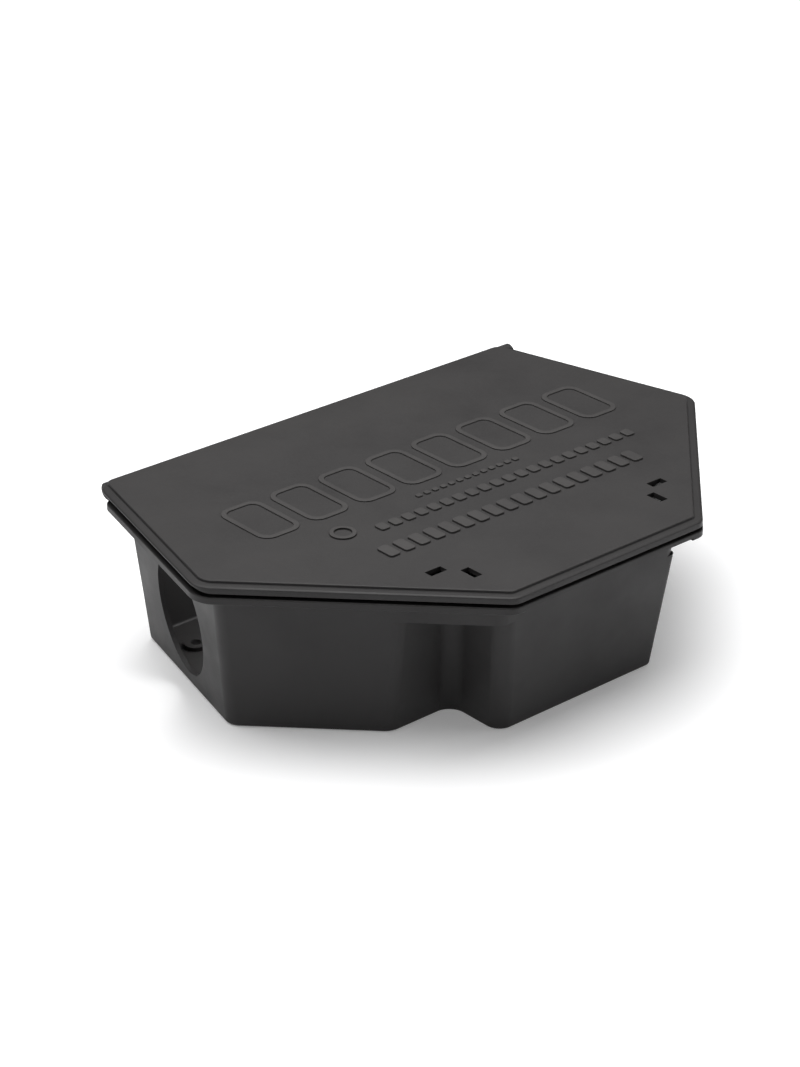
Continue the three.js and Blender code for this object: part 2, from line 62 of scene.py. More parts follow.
BACK_HALF = 132
SIDE_HALF = 160.5
SIDE_Y = -113.5
FRONT_HALF = 59.5
FRONT_Y = -215.8
PLAN = [
    (-BACK_HALF, 0),
    (-SIDE_HALF, SIDE_Y),
    (-FRONT_HALF, FRONT_Y),
    (FRONT_HALF, FRONT_Y),
    (SIDE_HALF, SIDE_Y),
    (BACK_HALF, 0),
]
KINDS = ["side", "chamfer", "front", "chamfer", "side", "back"]
PLAN_RADII = [9, 13, 8, 8, 13, 9]
WALL_RADII = [4, 8, 8, 8, 8, 4]
WALL_FOOT = {"side": 20.5, "chamfer": 22.3, "front": 23.7, "back": 10.6}
WALL_HEAD = {"side": 12.3, "chamfer": 12.3, "front": 12.3, "back": 6.3}
RIM_REACH = {"side": 0, "chamfer": 0.3, "front": 0, "back": -6.6}
RIM_PLATE = 2.2
RIM_RADII = [6, 14, 8, 8, 14, 6]
FINGER_HALF = 53.5
FINGER_DEPTH = 7.3
PANEL_TOP = 86
LEDGE_TOP = 84.6
LID_BOTTOM = 81.2
RIM_TOP = 79.5
SKIRT_BOTTOM = 76
WALL_TOP = 77
NOTCH_ROOF = 62.8
SIDE_LIFT = 1.9
SHELL = 2.5
FLOOR = 2.4
NOTCH_ACROSS = (-159.3, 0.145)
NOTCH_ALONG = [(47.2, 0.107), (54, 0.06)]
NOTCHED_RADII = [4, 8, 10, 8, 8, 3.5, 8, 10, 8, 4]

ENTRY_ALONG = 62.7
ENTRY_HEIGHT = 38
ENTRY_HALF_WIDE = 25.3
ENTRY_HALF_TALL = 31
ENTRY_DEPTH = 50
DIVIDER = {"y": -91, "half": 62, "thick": 2.2, "top": 72, "wing": 16}
ANCHORS = [(-104, -36), (-30, -68), (30, -68), (104, -36)]

HINGE_Z = 80.2
BARREL = 4.4
BORE = 2
HINGE_ENDS = (-127.5, 136.5)
KNUCKLES = 9
KNUCKLE_GAP = 0.5
BLIND = 2.5

SLOT_SPOT = (65.05, -180.05)
SLOT_OFFSET = 8
SLOT_LONG = 9.5
SLOT_WIDE = 4.8
DECK = 66
SPRING_SEAT = -21.8
STEM_END = -14
CAP_SCREW = 12.3

ROD_Y = -124
ROD_XS = [-51, -17, 17, 51]
BLOCK_LOW = 12.3
BLOCK_TALL = 28.5
BLOCK_GAP = 0.3

# The lid's raised marks. A row of bars: middle, y, count, pitch, wide, deep, height.
FRAME_ROW = {"middle": 5, "y": -82, "count": 8, "pitch": 29.5}
BAR_ROWS = [
    (6, -111, 13, 5.2, 3.2, 3, 0.8),
    (20, -125, 21, 8, 5.4, 6.5, 0.9),
    (4, -146, 18, 9.2, 6.2, 11, 1),
]
RING_SPOT = (-78, -118)


# ---- solids ----

def solid(name, points, faces):
    mesh = bpy.data.meshes.new(name)
    mesh.from_pydata([tuple(p) for p in points], [], faces)
    piece = bpy.data.objects.new(name, mesh)
    bpy.context.scene.collection.objects.link(piece)
    return piece


def loft(levels):
    """A closed solid through rings of points: [(points, z), ...] from the bottom up."""
    count = len(levels[0][0])
    points = [(x, y, z) for ring, z in levels for x, y in ring]
    faces = [tuple(reversed(range(count)))]
    for k in range(len(levels) - 1):
        for i in range(count):
            a, b = k * count + i, k * count + (i + 1) % count
            faces.append((a, b, b + count, a + count))
    faces.append(tuple(range(len(points) - count, len(points))))
    return solid("loft", points, faces)


def circle(x, y, radius, sides):
    turns = [2 * math.pi * i / sides for i in range(sides)]
    return [(x + radius * math.cos(t), y + radius * math.sin(t)) for t in turns]


def box(xs, ys, zs):
    ring = [(xs[0], ys[0]), (xs[1], ys[0]), (xs[1], ys[1]), (xs[0], ys[1])]
    return loft([(ring, zs[0]), (ring, zs[1])])


def post(x, y, radius, z0, z1, sides=40):
    ring = circle(x, y, radius, sides)
    return loft([(ring, z0), (ring, z1)])


def turned(x, y, profile, sides=40):
    """A solid of revolution about an upright axis, from (radius, z) pairs."""
    return loft([(circle(x, y, radius, sides), z) for radius, z in profile])


def move(piece, matrix):
    piece.data.transform(matrix)
    return piece


def along_hinge(x0, x1, radius, sides=40):
    """A round bar on the hinge line."""
    bar = post(0, 0, radius, x0, x1, sides)
    return move(bar, Matrix.Translation((0, 0, HINGE_Z)) @ Matrix.Rotation(math.pi / 2, 4, "Y"))


def combine(body, tools, operation):
    """body joined with, or cut by, every one of tools."""
    group = bpy.data.collections.new("tools")
    for tool in tools:
        group.objects.link(tool)
    step = body.modifiers.new("step", "BOOLEAN")
    step.operation = operation
    step.operand_type = "COLLECTION"
    step.solver = "EXACT"
    step.collection = group
    bpy.context.view_layer.update()
    done = bpy.data.meshes.new_from_object(body.evaluated_get(bpy.context.evaluated_depsgraph_get()))
    body.modifiers.clear()
    body.data = done
    for tool in tools:
        bpy.data.objects.remove(tool)
    bpy.data.collections.remove(group)
    return body


def joined(body, *tools):
    return combine(body, tools, "UNION")


def carved(body, *tools):
    return combine(body, tools, "DIFFERENCE")


# ---- plans: straight edges that lean, met in rounded corners ----

def edge(p, q):
    """The straight line from p to q: its outward normal, and its distance."""
    length = math.dist(p, q)
    nx, ny = (q[1] - p[1]) / length, (p[0] - q[0]) / length
    return {"nx": nx, "ny": ny, "c": nx * p[0] + ny * p[1], "lean": 0}


OUTLINE = [{**edge(PLAN[i], PLAN[(i + 1) % 6]), "kind": KINDS[i]} for i in range(6)]


def inset_plan(inset):
    return [{**line, "c": line["c"] - inset[line["kind"]]} for line in OUTLINE]


def leaning_walls():
    walls = []
    for line in OUTLINE:
        foot, head = WALL_FOOT[line["kind"]], WALL_HEAD[line["kind"]]
        walls.append({**line, "c": line["c"] - foot, "lean": (foot - head) / WALL_TOP})
    return walls


WALLS = leaning_walls()


def notched_walls():
    side_l, chamfer_l, front, chamfer_r, side_r, back = WALLS
    across = {"nx": 0, "ny": -1, "c": -NOTCH_ACROSS[0], "lean": NOTCH_ACROSS[1]}
    (at_l, lean_l), (at_r, lean_r) = NOTCH_ALONG
    along_l = {"nx": -1, "ny": 0, "c": at_l, "lean": lean_l}
    along_r = {"nx": 1, "ny": 0, "c": at_r, "lean": lean_r}
    return [side_l, chamfer_l, across, along_l, front, along_r, across, chamfer_r, side_r, back]


NOTCHED = notched_walls()


def corners_of(lines, z, inset):
    corners = []
    for i, line in enumerate(lines):
        before = lines[i - 1]
        c0 = before["c"] + before["lean"] * z - inset
        c1 = line["c"] + line["lean"] * z - inset
        det = before["nx"] * line["ny"] - before["ny"] * line["nx"]
        x = (c0 * line["ny"] - c1 * before["ny"]) / det
        y = (c1 * before["nx"] - c0 * line["nx"]) / det
        corners.append(Vector((x, y)))
    return corners


def round_corners(corners, radii, inset, steps):
    """The corners turned into arcs. Outer ones tighten and inner ones widen as the plan moves in."""
    ring = []
    for i, corner in enumerate(corners):
        to_before = (corners[i - 1] - corner).normalized()
        to_after = (corners[(i + 1) % len(corners)] - corner).normalized()
        turn_way = -1 if to_before.cross(to_after) > 0 else 1
        radius = max(0.8, radii[i] - turn_way * inset)
        half = to_before.angle(to_after) / 2
        centre = corner + (to_before + to_after).normalized() * radius / math.sin(half)
        start = corner + to_before * radius / math.tan(half) - centre
        turn = (math.pi - 2 * half) * turn_way
        for k in range(steps + 1):
            ring.append(tuple(centre + Matrix.Rotation(turn * k / steps, 2) @ start))
    return ring


def level(lines, radii, z, inset=0, steps=10):
    return round_corners(corners_of(lines, z, inset), radii, inset, steps), z


def plan_loft(lines, radii, profile, steps=10):
    """A solid that follows a plan, from (z, inset) pairs."""
    return loft([level(lines, radii, z, inset, steps) for z, inset in profile])


def quarter(z, inset, rise, depth, steps=5):
    """(z, inset) pairs round a convex edge: starts upright at (z, inset), ends level, in and up."""
    turns = [math.pi / 2 * k / steps for k in range(steps + 1)]
    return [(z + rise * math.sin(t), inset + depth * (1 - math.cos(t))) for t in turns]


def slab(x, y, wide, deep, radius, profile, steps=6):
    """A small rounded pad, from (z, inset) pairs."""
    lines = [
        {"nx": -1, "ny": 0, "c": -x + wide / 2, "lean": 0},
        {"nx": 0, "ny": -1, "c": -y + deep / 2, "lean": 0},
        {"nx": 1, "ny": 0, "c": x + wide / 2, "lean": 0},
        {"nx": 0, "ny": 1, "c": y + deep / 2, "lean": 0},
    ]
    return plan_loft(lines, [radius] * 4, profile, steps)


# ---- knuckles ----

def knuckle_spans(first):
    left, right = HINGE_ENDS
    pitch = (right - left) / KNUCKLES
    starts = [left + i * pitch for i in range(first, KNUCKLES, 2)]
    return [(x + KNUCKLE_GAP / 2, x + pitch - KNUCKLE_GAP / 2) for x in starts]


BASE_SPANS = knuckle_spans(0)
LID_SPANS = knuckle_spans(1)


def hinge_bore():
    """The hole for the pin, blind at the left."""
    return along_hinge(HINGE_ENDS[0] + BLIND, HINGE_ENDS[1] + 1, BORE)


# ---- base ----

def latch_place(side):
    """Puts a latch piece, drawn with +X outward, under the key slots of one front corner."""
    outward = OUTLINE[1] if side < 0 else OUTLINE[3]
    turn = Matrix.Rotation(math.atan2(outward["ny"], outward["nx"]), 4, "Z")
    return Matrix.Translation((side * SLOT_SPOT[0], SLOT_SPOT[1], 0)) @ turn


def latch_deck(side):
    seat = SPRING_SEAT
    parts = [
        box((seat - 3.7, 2), (-18.5, 18.5), (DECK - 2.8, DECK)),
        box((seat - 2.2, seat), (-6, 6), (DECK - 1, DECK + 8)),
        box((seat - 2.2, -10.5), (-11, -9), (48, DECK - 2)),
        box((seat - 2.2, -10.5), (9, 11), (48, DECK - 2)),
    ]
    return [move(part, latch_place(side)) for part in parts]


def latch_holes(side):
    spots = [-CAP_SCREW, CAP_SCREW]
    return [move(post(-CAP_SCREW, v, 1.8, DECK - 5, DECK + 2), latch_place(side)) for v in spots]


def entry_cutter(side):
    """An upright ellipse run straight through a side wall."""
    round_hole = circle(0, 0, 1, 72)
    points = [(ENTRY_HALF_WIDE * x, ENTRY_HALF_TALL * y) for x, y in round_hole]
    hole = loft([(points, -ENTRY_DEPTH / 2), (points, ENTRY_DEPTH / 2)])
    wall = OUTLINE[0] if side < 0 else OUTLINE[4]
    run = Vector((SIDE_HALF - BACK_HALF, -SIDE_Y)).normalized()
    x = BACK_HALF + run.x * ENTRY_ALONG - WALL_FOOT["side"]
    centre = Vector((side * x, -run.y * ENTRY_ALONG, ENTRY_HEIGHT))
    face = Matrix.Rotation(math.atan2(wall["ny"], wall["nx"]) + math.pi / 2, 4, "Z")
    return move(hole, Matrix.Translation(centre) @ face @ Matrix.Rotation(math.pi / 2, 4, "X"))


def rim():
    lines = inset_plan({kind: -reach for kind, reach in RIM_REACH.items()})
    lip = [(SKIRT_BOTTOM, 0.35), (SKIRT_BOTTOM + 0.35, 0)] + quarter(RIM_TOP - 0.6, 0, 0.6, 0.6, 4)
    plate = plan_loft(lines, RIM_RADII, lip)
    under = (SKIRT_BOTTOM - 1, RIM_TOP - RIM_PLATE)
    channel = plan_loft(lines, RIM_RADII, [(z, 2) for z in under])
    fingers = box((-FINGER_HALF, FINGER_HALF), (FRONT_Y - 5, FRONT_Y + FINGER_DEPTH), under)
    return carved(plate, channel, fingers)


def divider():
    y, half, thick, top, wing = DIVIDER.values()
    wings = [box((x - thick / 2, x + thick / 2), (y, y + wing), (1, top)) for x in (-half, half)]
    return [box((-half, half), (y, y + thick), (1, top)), *wings]


def base_body():
    deck_bottom = NOTCH_ROOF + SHELL
    foot = [(0, 1.8), (0.15, 1.2), (0.6, 0.55), (1.1, 0.2), (1.8, 0), (NOTCH_ROOF, 0)]
    lower = plan_loft(NOTCHED, NOTCHED_RADII, foot)
    upper = plan_loft(WALLS, WALL_RADII, [(NOTCH_ROOF, 0), (RIM_TOP - 1, 0)])
    body = joined(lower, upper, rim())
    well = [(FLOOR, SHELL + 1.5), (FLOOR + 0.4, SHELL + 0.7), (FLOOR + 1.5, SHELL), (deck_bottom, SHELL)]
    body = carved(
        body,
        plan_loft(NOTCHED, NOTCHED_RADII, well),
        plan_loft(WALLS, WALL_RADII, [(deck_bottom, SHELL), (RIM_TOP + 1, SHELL)]),
    )
    knuckles = []
    for span in BASE_SPANS:
        knuckles.append(along_hinge(*span, BARREL))
        knuckles.append(box(span, (-9.5, 0.5), (HINGE_Z - 4.4, HINGE_Z - 1)))
    body = joined(
        body,
        *divider(),
        *latch_deck(-1),
        *latch_deck(1),
        *[post(x, y, 6, 1, FLOOR + 2) for x, y in ANCHORS],
        *knuckles,
    )
    return carved(
        body,
        entry_cutter(-1),
        entry_cutter(1),
        *latch_holes(-1),
        *latch_holes(1),
        *[post(x, y, 2.75, -1, FLOOR + 4) for x, y in ANCHORS],
        hinge_bore(),
    )


# ---- lid ----

def pad_profile(height):
    low = PANEL_TOP - 0.4
    return [(low, 0)] + quarter(PANEL_TOP + height - 0.3, 0, 0.3, 0.3, 3)


def pad(x, y, wide, deep, radius, height):
    return slab(x, y, wide, deep, radius, pad_profile(height))


def ring_pad(x, y):
    cutter = post(x, y, 4.4, PANEL_TOP - 1, PANEL_TOP + 3)
    outside = [(6.5, -0.4), (6.5, 0.6), (6.4, 0.8), (6.1, 0.9)]
    return carved(turned(x, y, [(radius, PANEL_TOP + z) for radius, z in outside], 48), cutter)


def frame_pad(x, y):
    inside = [(-1, 0), (0.35, 0), (0.5, -0.1), (1, -0.6)]
    window = [(PANEL_TOP + z, inset) for z, inset in inside]
    return carved(pad(x, y, 24, 38, 7, 0.6), slab(x, y, 18.4, 32.4, 4.4, window))


def bar_row(middle, y, count, pitch, wide, deep, height):
    spots = [middle + (i - (count - 1) / 2) * pitch for i in range(count)]
    return [pad(x, y, wide, deep, wide / 4, height) for x in spots]


def relief():
    """Plain raised frames, bars and a ring on the panel, in four rows."""
    middle, y, count, pitch = FRAME_ROW.values()
    frames = [frame_pad(middle + (i - (count - 1) / 2) * pitch, y) for i in range(count)]
    bars = [bar for row in BAR_ROWS for bar in bar_row(*row)]
    return [*frames, *bars, ring_pad(*RING_SPOT)]


def keeper(side):
    low = DECK + 0.6
    rib = box((2.9, 4.4), (-5, 5), (low, PANEL_TOP - 2))
    lip = box((1.6, 3.2), (-3.6, 3.6), (low, low + 1.8))
    return [move(part, latch_place(side)) for part in (rib, lip)]


def tongue():
    lines = inset_plan({"side": 15.7, "chamfer": 15.7, "front": 15.7, "back": 11.2})
    radii = [4, 7, 4, 4, 7, 4]
    low, high = 78, PANEL_TOP - 2
    wall = plan_loft(lines, radii, [(low, 0), (high, 0)])
    return carved(wall, plan_loft(lines, radii, [(low - 1, 2), (high + 1, 2)]))


def lid_ribs():
    high = PANEL_TOP - 2
    ribs = [box((x - 1, x + 1), (-160, -13), (79.6, high)) for x in (-66, 66)]
    ribs.append(box((-108, 108), (-161, -159), (79.6, high)))
    for y, inward in ((-37.5, -1), (-90, 1)):
        leg = sorted((y, y - 2 * inward))
        lip = sorted((y + 3 * inward, y - 2 * inward))
        ribs.append(box((-52, 52), leg, (80.2, high)))
        ribs.append(box((-52, 52), lip, (80.2, 81.2)))
    return ribs


def lid_clearance():
    gap = KNUCKLE_GAP
    return [along_hinge(x0 - gap, x1 + gap, BARREL + 0.4) for x0, x1 in BASE_SPANS]


def key_slots():
    step = SLOT_OFFSET / math.sqrt(2)
    slots = []
    for side in (-1, 1):
        x, y = SLOT_SPOT
        long, wide = SLOT_LONG / 2, SLOT_WIDE / 2
        xa, xb = side * (x + step), side * (x - step)
        slots.append(box((xa - long, xa + long), (y + step - wide, y + step + wide), (70, 95)))
        slots.append(box((xb - wide, xb + wide), (y - step - long, y - step + long), (70, 95)))
    return slots


def lid_loft(profile):
    """A solid on the lid's plan, from (z, inset, inset of the back edge)."""
    levels = []
    for z, inset, back in profile:
        lines = inset_plan({"side": inset, "chamfer": inset, "front": inset, "back": back})
        radii = [radius - inset for radius in PLAN_RADII]
        levels.append(level(lines, radii, z, 0, 12))
    return loft(levels)


def lift_sides(piece):
    """Raises the lower edge along both sides, easing in round the corners at SIDE_Y."""
    for vertex in piece.data.vertices:
        if vertex.co.z < LID_BOTTOM + 1:
            share = min(1, max(0, (vertex.co.y - SIDE_Y + 6) / 12))
            vertex.co.z += SIDE_LIFT * share * share * (3 - 2 * share)


def lid_body():
    face = [(LID_BOTTOM, 0.4, 0), (LID_BOTTOM + 0.15, 0.12, 0), (LID_BOTTOM + 0.5, 0, 0)]
    bead = [(z, inset, 0) for z, inset in quarter(LEDGE_TOP - 0.8, 0, 0.8, 1.6, 6)]
    step = [(LEDGE_TOP, 3.8, 0), (LEDGE_TOP + 0.15, 4.1, 0), (LEDGE_TOP + 0.45, 4.25, 0)]
    crown = [(z, inset, inset - 4.3) for z, inset in quarter(PANEL_TOP - 0.5, 4.3, 0.5, 0.6, 4)]
    body = lid_loft(face + bead + step + crown)
    lift_sides(body)
    hollow = [(LID_BOTTOM - 1, 2.4), (LEDGE_TOP - 2.2, 2.6), (LEDGE_TOP - 2.1, 6.6), (PANEL_TOP - 2.4, 7)]
    body = carved(body, lid_loft([(z, inset, inset) for z, inset in hollow]), *lid_clearance())
    knuckles = []
    for span in LID_SPANS:
        knuckles.append(along_hinge(*span, BARREL))
        knuckles.append(box(span, (-8, -0.5), (HINGE_Z + 1, PANEL_TOP - 2)))
    body = joined(body, tongue(), *lid_ribs(), *knuckles, *keeper(-1), *keeper(1), *relief())
    return carved(body, *key_slots(), hinge_bore())


# ---- hinge pin, tray, rods, blocks, card ----

def pin_body():
    left, right = HINGE_ENDS[0] + BLIND + 0.5, HINGE_ENDS[1] - 0.5
    bar = turned(0, 0, [(1.2, left), (1.6, left + 0.4), (1.6, right - 0.4), (1.3, right)], 32)
    return move(bar, Matrix.Translation((0, 0, HINGE_Z)) @ Matrix.Rotation(math.pi / 2, 4, "Y"))


def tray_body():
    back = {"nx": 0, "ny": 1, "c": -95, "lean": 0}
    lines = [back if line is WALLS[5] else {**line, "c": line["c"] - SHELL - 2.5} for line in NOTCHED]
    radii = [3, 7, 7, 10, 6, 6, 10, 7, 7, 3]
    low, high, wall = 2.7, 18.7, 1.8
    outer = [(low, 0.8), (low + 0.3, 0.25), (low + 0.9, 0)] + quarter(high - 0.5, 0, 0.5, 0.5, 3)
    inner = [(low + wall, wall + 0.8), (low + wall + 0.8, wall), (high + 1, wall)]
    tray = carved(plan_loft(lines, radii, outer), plan_loft(lines, radii, inner))
    sockets = [turned(x, ROD_Y, [(5, low + 1), (4.6, low + 3), (4.6, 11.6), (4.2, 12)]) for x in ROD_XS]
    tray = joined(tray, *sockets)
    return carved(tray, *[post(x, ROD_Y, 2.4, 4.6, 14) for x in ROD_XS])


def tube(path, radius, sides=16, dome=0.5):
    """A round bar along a path of points, with domed ends."""
    points, faces = [], []
    normal = None
    sizes = [1.0] * len(path)
    sizes[0] = sizes[-1] = dome
    for i, spot in enumerate(path):
        ahead = (path[min(i + 1, len(path) - 1)] - path[max(i - 1, 0)]).normalized()
        if normal is None:
            normal = ahead.orthogonal().normalized()
        normal = (normal - ahead * normal.dot(ahead)).normalized()
        across = ahead.cross(normal)
        for k in range(sides):
            turn = 2 * math.pi * k / sides
            points.append(spot + (normal * math.cos(turn) + across * math.sin(turn)) * radius * sizes[i])
    for i in range(len(path) - 1):
        for k in range(sides):
            a, b = i * sides + k, i * sides + (k + 1) % sides
            faces.append((a, b, b + sides, a + sides))
    faces.append(tuple(reversed(range(sides))))
    faces.append(tuple(range(len(points) - sides, len(points))))
    return solid("tube", points, faces)


def rod_body():
    bend, arm, turn, low = 71, 14, 4, 5
    path = [Vector((0, 0, low)), Vector((0, 0, low + 0.8)), Vector((0, 0, 40))]
    for k in range(11):
        angle = math.pi / 2 * k / 10
        path.append(Vector((0, turn * (1 - math.cos(angle)), bend + turn * math.sin(angle))))
    path += [Vector((0, arm - 0.8, bend + turn)), Vector((0, arm, bend + turn))]
    return tube(path, 2, 20)


def block_body():
    """A pressed block: a square bar with a groove down each face and a hole for the rod."""
    half, tall = 14, BLOCK_TALL
    ring = []
    quarter_ring = [(half, -9), (half, -4.2), (half - 1.6, -1.4), (half - 2.1, 0), (half - 1.6, 1.4)]
    quarter_ring += [(half, 4.2), (half, 9), (half - 0.5, half - 2), (half - 2, half - 0.5)]
    for turn in range(4):
        spin = Matrix.Rotation(math.pi / 2 * turn, 2)
        ring += [spin @ Vector(p) for p in quarter_ring]
    profile = [(0, 0.94), (0.5, 0.98), (1.4, 1), (tall - 1.4, 1), (tall - 0.5, 0.98), (tall, 0.94)]
    bar = loft([([tuple(p * size) for p in ring], z) for z, size in profile])
    return carved(bar, post(0, 0, 3, -1, tall + 1, 32))


def card_body():
    return box((-51, 51), (-89.6, -37.9), (81.6, 82.1))


# ---- latch pieces, drawn with +X outward ----

def bolt_body():
    low, high = DECK + 0.3, DECK + 7
    end = 1.2
    ramp = [(-3.2, low), (end, low), (end, low + 2), (-2.4, high), (-3.2, high)]
    bar = loft([(ramp, -12), (ramp, 12)])
    move(bar, Matrix.Rotation(math.pi / 2, 4, "X"))
    nose = box((-3, end), (-4, 4), (DECK + 2.8, high))
    stem = box((STEM_END, -3), (-5.7, 5.7), (low, high - 1))
    return joined(bar, nose, stem)


def spring_body():
    wire, radius, turns, steps = 0.4, 2.2, 4.5, 120
    start = SPRING_SEAT + wire + 0.2
    length = STEM_END - 0.2 - wire - start
    path = []
    for i in range(steps + 1):
        angle = 2 * math.pi * turns * i / steps
        spot = (start + length * i / steps, radius * math.cos(angle), radius * math.sin(angle))
        path.append(Vector(spot) + Vector((0, 0, DECK + 3.4)))
    return tube(path, wire, 10, 0.7)


def cap_body():
    x0, x1 = -17, -7.6
    block = box((x0, x1), (-17.5, 17.5), (DECK + 0.3, DECK + 8.2))
    channel = box((x0 - 1, x1 + 1), (-6.1, 6.1), (DECK - 1, DECK + 6.4))
    holes = [post(-CAP_SCREW, v, 1.8, DECK, DECK + 9) for v in (-CAP_SCREW, CAP_SCREW)]
    return carved(block, channel, *holes)


def screw_body(v):
    seat = DECK + 8.5
    head = [(2.7, seat), (2.9, seat + 0.3), (2.85, seat + 0.9), (2.4, seat + 1.4), (1.5, seat + 1.7)]
    shank = turned(0, 0, [(1, DECK - 4), (1.4, DECK - 3.3), (1.4, seat + 0.2)], 24)
    screw = joined(shank, turned(0, 0, head, 32))
    cross = [box((-1.5, 1.5), (-0.28, 0.28), (seat + 0.8, seat + 3))]
    cross.append(box((-0.28, 0.28), (-1.5, 1.5), (seat + 0.8, seat + 3)))
    return move(carved(screw, *cross), Matrix.Translation((-CAP_SCREW, v, 0)))


# ---- shader groups that several finishes share ----

def shader_group(name, inputs, outputs):
    """An empty group with its named sockets: {name: default} for inputs, {name: kind} for outputs."""
    tree = bpy.data.node_groups.new(name, "ShaderNodeTree")
    for label, default in inputs.items():
        kind = "NodeSocketColor" if isinstance(default, tuple) else "NodeSocketFloat"
        socket = tree.interface.new_socket(label, in_out="INPUT", socket_type=kind)
        socket.default_value = default
    for label, kind in outputs.items():
        tree.interface.new_socket(label, in_out="OUTPUT", socket_type=kind)
    return tree, tree.nodes.new("NodeGroupInput"), tree.nodes.new("NodeGroupOutput")


def add_node(tree, kind, values=None, **settings):
    node = tree.nodes.new(kind)
    for name, value in settings.items():
        setattr(node, name, value)
    for name, value in (values or {}).items():
        node.inputs[name].default_value = value
    return node


def maths(tree, operation, first, second):
    node = add_node(tree, "ShaderNodeMath", operation=operation)
    for socket, value in zip(node.inputs, (first, second)):
        if isinstance(value, bpy.types.NodeSocket):
            tree.links.new(value, socket)
        else:
            socket.default_value = value
    return node.outputs["Value"]


def noise(tree, place, scale, detail=3.0, rough=0.5):
    node = add_node(tree, "ShaderNodeTexNoise", {"Detail": detail, "Roughness": rough})
    tree.links.new(place, node.inputs["Vector"])
    if isinstance(scale, bpy.types.NodeSocket):
        tree.links.new(scale, node.inputs["Scale"])
    else:
        node.inputs["Scale"].default_value = scale
    return node.outputs["Fac"]


def spread(tree, value, low, high, to_low=0.0, to_high=1.0):
    node = add_node(tree, "ShaderNodeMapRange")
    tree.links.new(value, node.inputs["Value"])
    for name, number in zip(("From Min", "From Max", "To Min", "To Max"), (low, high, to_low, to_high)):
        node.inputs[name].default_value = number
    return node.outputs["Result"]


def blend_colour(tree, share, first, second):
    node = add_node(tree, "ShaderNodeMix", data_type="RGBA")
    for socket, value in ((node.inputs[0], share), (node.inputs[6], first), (node.inputs[7], second)):
        if isinstance(value, bpy.types.NodeSocket):
            tree.links.new(value, socket)
        else:
            socket.default_value = value
    return node.outputs[2]


def object_place(tree):
    return tree.nodes.new("ShaderNodeTexCoord").outputs["Object"]


def moulded_grain_group():
    """The fine grain that a textured mould leaves: a height for bump, and a roughness that follows it."""
    tree, given, out = shader_group(
        "Moulded grain",
        {"Scale": 1400.0, "Roughness": 0.5, "Variation": 0.08},
        {"Height": "NodeSocketFloat", "Roughness": "NodeSocketFloat"},
    )
    place = object_place(tree)
    fine = noise(tree, place, given.outputs["Scale"], 2.0, 0.6)
    broad = noise(tree, place, 26.0, 4.0, 0.6)
    tree.links.new(fine, out.inputs["Height"])
    shift = maths(tree, "MULTIPLY", maths(tree, "SUBTRACT", broad, 0.5), given.outputs["Variation"])
    shift = maths(tree, "MULTIPLY", shift, 4.0)
    tree.links.new(maths(tree, "ADD", given.outputs["Roughness"], shift), out.inputs["Roughness"])
    return tree


def mottle_group():
    """Slow changes of tone through a moulding, drawn out into faint flow marks."""
    tree, given, out = shader_group(
        "Flow mottle",
        {"Colour": (0.04, 0.04, 0.04, 1), "Pale": (0.06, 0.06, 0.06, 1), "Share": 0.5},
        {"Colour": "NodeSocketColor"},
    )
    place = object_place(tree)
    stretch = add_node(tree, "ShaderNodeMapping", {"Scale": (7.0, 22.0, 10.0), "Rotation": (0, 0, 0.35)})
    tree.links.new(place, stretch.inputs["Vector"])
    swirl = add_node(tree, "ShaderNodeTexNoise", {"Scale": 1.0, "Detail": 5.0, "Distortion": 1.4})
    tree.links.new(stretch.outputs["Vector"], swirl.inputs["Vector"])
    clouds = noise(tree, place, 9.0, 3.0)
    flow = spread(tree, swirl.outputs["Fac"], 0.42, 0.72)
    both = maths(tree, "MULTIPLY", flow, spread(tree, clouds, 0.35, 0.7))
    share = maths(tree, "MULTIPLY", both, given.outputs["Share"])
    tree.links.new(
        blend_colour(tree, share, given.outputs["Colour"], given.outputs["Pale"]), out.inputs["Colour"]
    )
    return tree


def rubbed_group():
    """The panel's top and, more strongly, its raised marks rubbed paler by handling."""
    tree, given, out = shader_group(
        "Rubbed marks",
        {"Colour": (0.04, 0.04, 0.04, 1), "Worn": (0.1, 0.1, 0.1, 1), "Panel": 0.3, "Marks": 1.0},
        {"Colour": "NodeSocketColor"},
    )
    place = object_place(tree)
    split = tree.nodes.new("ShaderNodeSeparateXYZ")
    tree.links.new(place, split.inputs["Vector"])
    height = split.outputs["Z"]
    panel = spread(tree, height, (PANEL_TOP - 0.8) * MM, (PANEL_TOP - 0.1) * MM)
    marks = spread(tree, height, (PANEL_TOP + 0.15) * MM, (PANEL_TOP + 0.55) * MM)
    patches = spread(tree, noise(tree, place, 60.0, 5.0, 0.7), 0.3, 0.7, 0.7, 1.0)
    panel = maths(tree, "MULTIPLY", panel, given.outputs["Panel"])
    marks = maths(tree, "MULTIPLY", marks, given.outputs["Marks"])
    mask = maths(tree, "MULTIPLY", maths(tree, "MAXIMUM", panel, marks), patches)
    tree.links.new(
        blend_colour(tree, mask, given.outputs["Colour"], given.outputs["Worn"]), out.inputs["Colour"]
    )
    return tree


